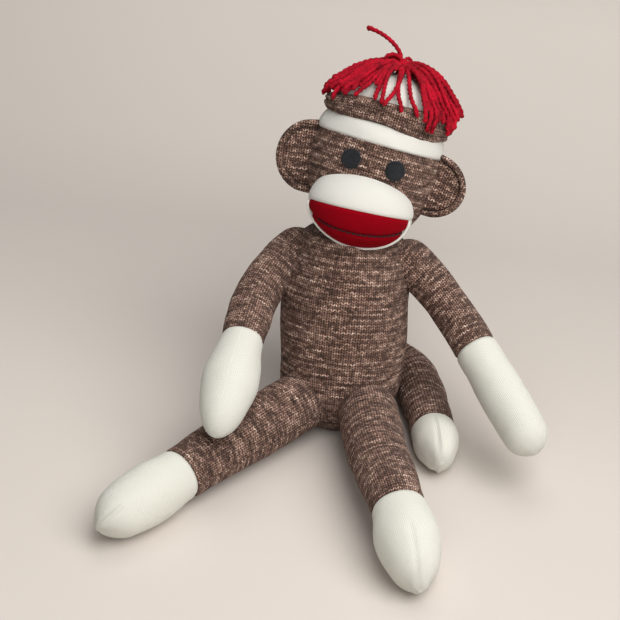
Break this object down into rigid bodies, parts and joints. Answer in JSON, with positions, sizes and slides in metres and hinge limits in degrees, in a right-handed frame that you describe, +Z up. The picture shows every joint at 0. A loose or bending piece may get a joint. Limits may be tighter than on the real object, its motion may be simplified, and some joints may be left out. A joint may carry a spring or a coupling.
{
  "type": "stuffed sock monkey toy",
  "caption": "Seated knitted sock monkey with stuffed limbs, tail, half-round ears, padded muzzle and a yarn-topped hat.",
  "frame": {"origin": "centre of the flat patch under the torso that the toy sits on", "axes": "+Z up, the chest faces -Y, the monkey's left side is +X"},
  "size_m": [0.308, 0.3399, 0.2834],
  "materials": {
    "brown_knit": "brown, dark and cream marled jersey knit, matt",
    "cream_knit": "off-white fine rib knit, matt",
    "red_knit": "deep red jersey, matt",
    "red_yarn": "red four-ply acrylic yarn, soft and fuzzy",
    "black_felt": "black pressed felt",
    "black_thread": "black embroidery thread",
    "brown_thread": "brown sewing thread",
    "stuffing": "white polyester fibrefill, hidden inside"
  },
  "bodies": {
    "torso": {"torso_cover": "brown_knit", "torso_stuffing": "stuffing"},
    "neck_sleeve": {"neck_cover": "brown_knit"},
    "neck_core": {"neck_stuffing": "stuffing"},
    "head": {"head_cover": "brown_knit", "head_stuffing": "stuffing", "muzzle_cover": "cream_knit", "lips": "red_knit", "muzzle_piping": "cream_knit", "muzzle_stuffing": "stuffing", "mouth_stitches": "black_thread", "left_eye": "black_felt", "right_eye": "black_felt", "eye_stitches": "black_thread", "hat_band": "cream_knit", "hat_brim": "brown_knit", "hat_crown": "cream_knit", "hat_stuffing": "stuffing", "pompom_strands": "red_yarn", "pompom_tie": "red_yarn"},
    "left_ear": {"left_ear_front": "brown_knit", "left_ear_back": "brown_knit", "left_ear_padding": "stuffing", "left_ear_topstitch": "brown_thread"},
    "left_shoulder": {"left_shoulder_fill": "stuffing"},
    "left_upper_arm": {"left_upper_sleeve": "brown_knit", "left_upper_arm_fill": "stuffing"},
    "left_fore_arm": {"left_fore_sleeve": "brown_knit", "left_hand_cover": "cream_knit", "left_fore_arm_fill": "stuffing"},
    "right_ear": {"right_ear_front": "brown_knit", "right_ear_back": "brown_knit", "right_ear_padding": "stuffing", "right_ear_topstitch": "brown_thread"},
    "right_shoulder": {"right_shoulder_fill": "stuffing"},
    "right_upper_arm": {"right_upper_sleeve": "brown_knit", "right_upper_arm_fill": "stuffing"},
    "right_fore_arm": {"right_fore_sleeve": "brown_knit", "right_hand_cover": "cream_knit", "right_fore_arm_fill": "stuffing"},
    "left_hip": {"left_hip_fill": "stuffing"},
    "left_thigh": {"left_thigh_cover": "brown_knit", "left_thigh_fill": "stuffing"},
    "left_shin": {"left_shin_cover": "brown_knit", "left_foot_cover": "cream_knit", "left_shin_fill": "stuffing"},
    "right_hip": {"right_hip_fill": "stuffing"},
    "right_thigh": {"right_thigh_cover": "brown_knit", "right_thigh_fill": "stuffing"},
    "right_shin": {"right_shin_cover": "brown_knit", "right_foot_cover": "cream_knit", "right_shin_fill": "stuffing"},
    "tail_root": {"tail_root_fill": "stuffing"},
    "tail_base": {"tail_root_cover": "brown_knit", "tail_mid_fill": "stuffing"},
    "tail_end": {"tail_end_cover": "brown_knit", "tail_tip_cover": "cream_knit", "tail_end_fill": "stuffing"}
  },
  "joints": [
    {"name": "neck_turn", "type": "hinge", "parent": "torso", "child": "neck_sleeve", "pos_m": [0.00066, 0.03306, 0.13973], "axis": [0.0249, 0.309, 0.9507], "range_deg": [-30, 30]},
    {"name": "neck_nod", "type": "hinge", "parent": "neck_sleeve", "child": "neck_core", "pos_m": [0.00066, 0.03306, 0.13973], "axis": [0.9997, 0, -0.0262], "range_deg": [-12, 7]},
    {"name": "neck_tilt", "type": "hinge", "parent": "neck_core", "child": "head", "pos_m": [0.00066, 0.03306, 0.13973], "axis": [-0.0081, 0.9511, -0.3089], "range_deg": [-20, 3]},
    {"name": "left_ear_fold", "type": "hinge", "parent": "head", "child": "left_ear", "pos_m": [0.05896, 0.0456, 0.17244], "axis": [0.1853, 0.454, 0.8715], "range_deg": [-35, 35]},
    {"name": "left_shoulder_swing", "type": "hinge", "parent": "torso", "child": "left_shoulder", "pos_m": [0.04373, 0.02781, 0.12243], "axis": [-0.9997, 0, 0.0262], "range_deg": [-25, 40]},
    {"name": "left_shoulder_spread", "type": "hinge", "parent": "left_shoulder", "child": "left_upper_arm", "pos_m": [0.04373, 0.02781, 0.12243], "axis": [0, -1, 0], "range_deg": [0, 35]},
    {"name": "left_elbow_bend", "type": "hinge", "parent": "left_upper_arm", "child": "left_fore_arm", "pos_m": [0.07485, 0.02063, 0.10006], "axis": [-0.5706, 0.0744, -0.8179], "range_deg": [-30, 22]},
    {"name": "right_ear_fold", "type": "hinge", "parent": "head", "child": "right_ear", "pos_m": [-0.03929, 0.0456, 0.19332], "axis": [-0.1853, -0.454, -0.8715], "range_deg": [-35, 35]},
    {"name": "right_shoulder_swing", "type": "hinge", "parent": "torso", "child": "right_shoulder", "pos_m": [-0.04324, 0.02781, 0.1247], "axis": [-0.9997, 0, 0.0262], "range_deg": [0, 40]},
    {"name": "right_shoulder_spread", "type": "hinge", "parent": "right_shoulder", "child": "right_upper_arm", "pos_m": [-0.04324, 0.02781, 0.1247], "axis": [0, 1, 0], "range_deg": [0, 35]},
    {"name": "right_elbow_bend", "type": "hinge", "parent": "right_upper_arm", "child": "right_fore_arm", "pos_m": [-0.07015, 0.00091, 0.11613], "axis": [0.1116, -0.4013, 0.9091], "range_deg": [-30, 18]},
    {"name": "left_hip_spread", "type": "hinge", "parent": "torso", "child": "left_hip", "pos_m": [0.027, -0.038, 0.03], "axis": [0, 0, 1], "range_deg": [-12, 11]},
    {"name": "left_hip_lift", "type": "hinge", "parent": "left_hip", "child": "left_thigh", "pos_m": [0.027, -0.038, 0.03], "axis": [-0.9397, -0.342, 0], "range_deg": [-50, 38]},
    {"name": "left_knee_bend", "type": "hinge", "parent": "left_thigh", "child": "left_shin", "pos_m": [0.04818, -0.09619, 0.03303], "axis": [0.9397, 0.342, 0], "range_deg": [-10, 60]},
    {"name": "right_hip_spread", "type": "hinge", "parent": "torso", "child": "right_hip", "pos_m": [-0.027, -0.038, 0.03], "axis": [0, 0, -1], "range_deg": [-12, 25]},
    {"name": "right_hip_lift", "type": "hinge", "parent": "right_hip", "child": "right_thigh", "pos_m": [-0.027, -0.038, 0.03], "axis": [-0.8141, 0.5807, 0], "range_deg": [-50, 1]},
    {"name": "right_knee_bend", "type": "hinge", "parent": "right_thigh", "child": "right_shin", "pos_m": [-0.06296, -0.08841, 0.02697], "axis": [0.8141, -0.5807, 0], "range_deg": [-10, 60]},
    {"name": "tail_swing", "type": "hinge", "parent": "torso", "child": "tail_root", "pos_m": [0.008, 0.053, 0.03], "axis": [0, 0, 1], "range_deg": [0, 45]},
    {"name": "tail_lift", "type": "hinge", "parent": "tail_root", "child": "tail_base", "pos_m": [0.008, 0.053, 0.03], "axis": [0.1392, -0.9903, 0], "range_deg": [-5, 11]},
    {"name": "tail_bend", "type": "hinge", "parent": "tail_base", "child": "tail_end", "pos_m": [0.05018, 0.05893, 0.01898], "axis": [-0.2452, -0.0539, -0.968], "range_deg": [-45, 3]}
  ]
}
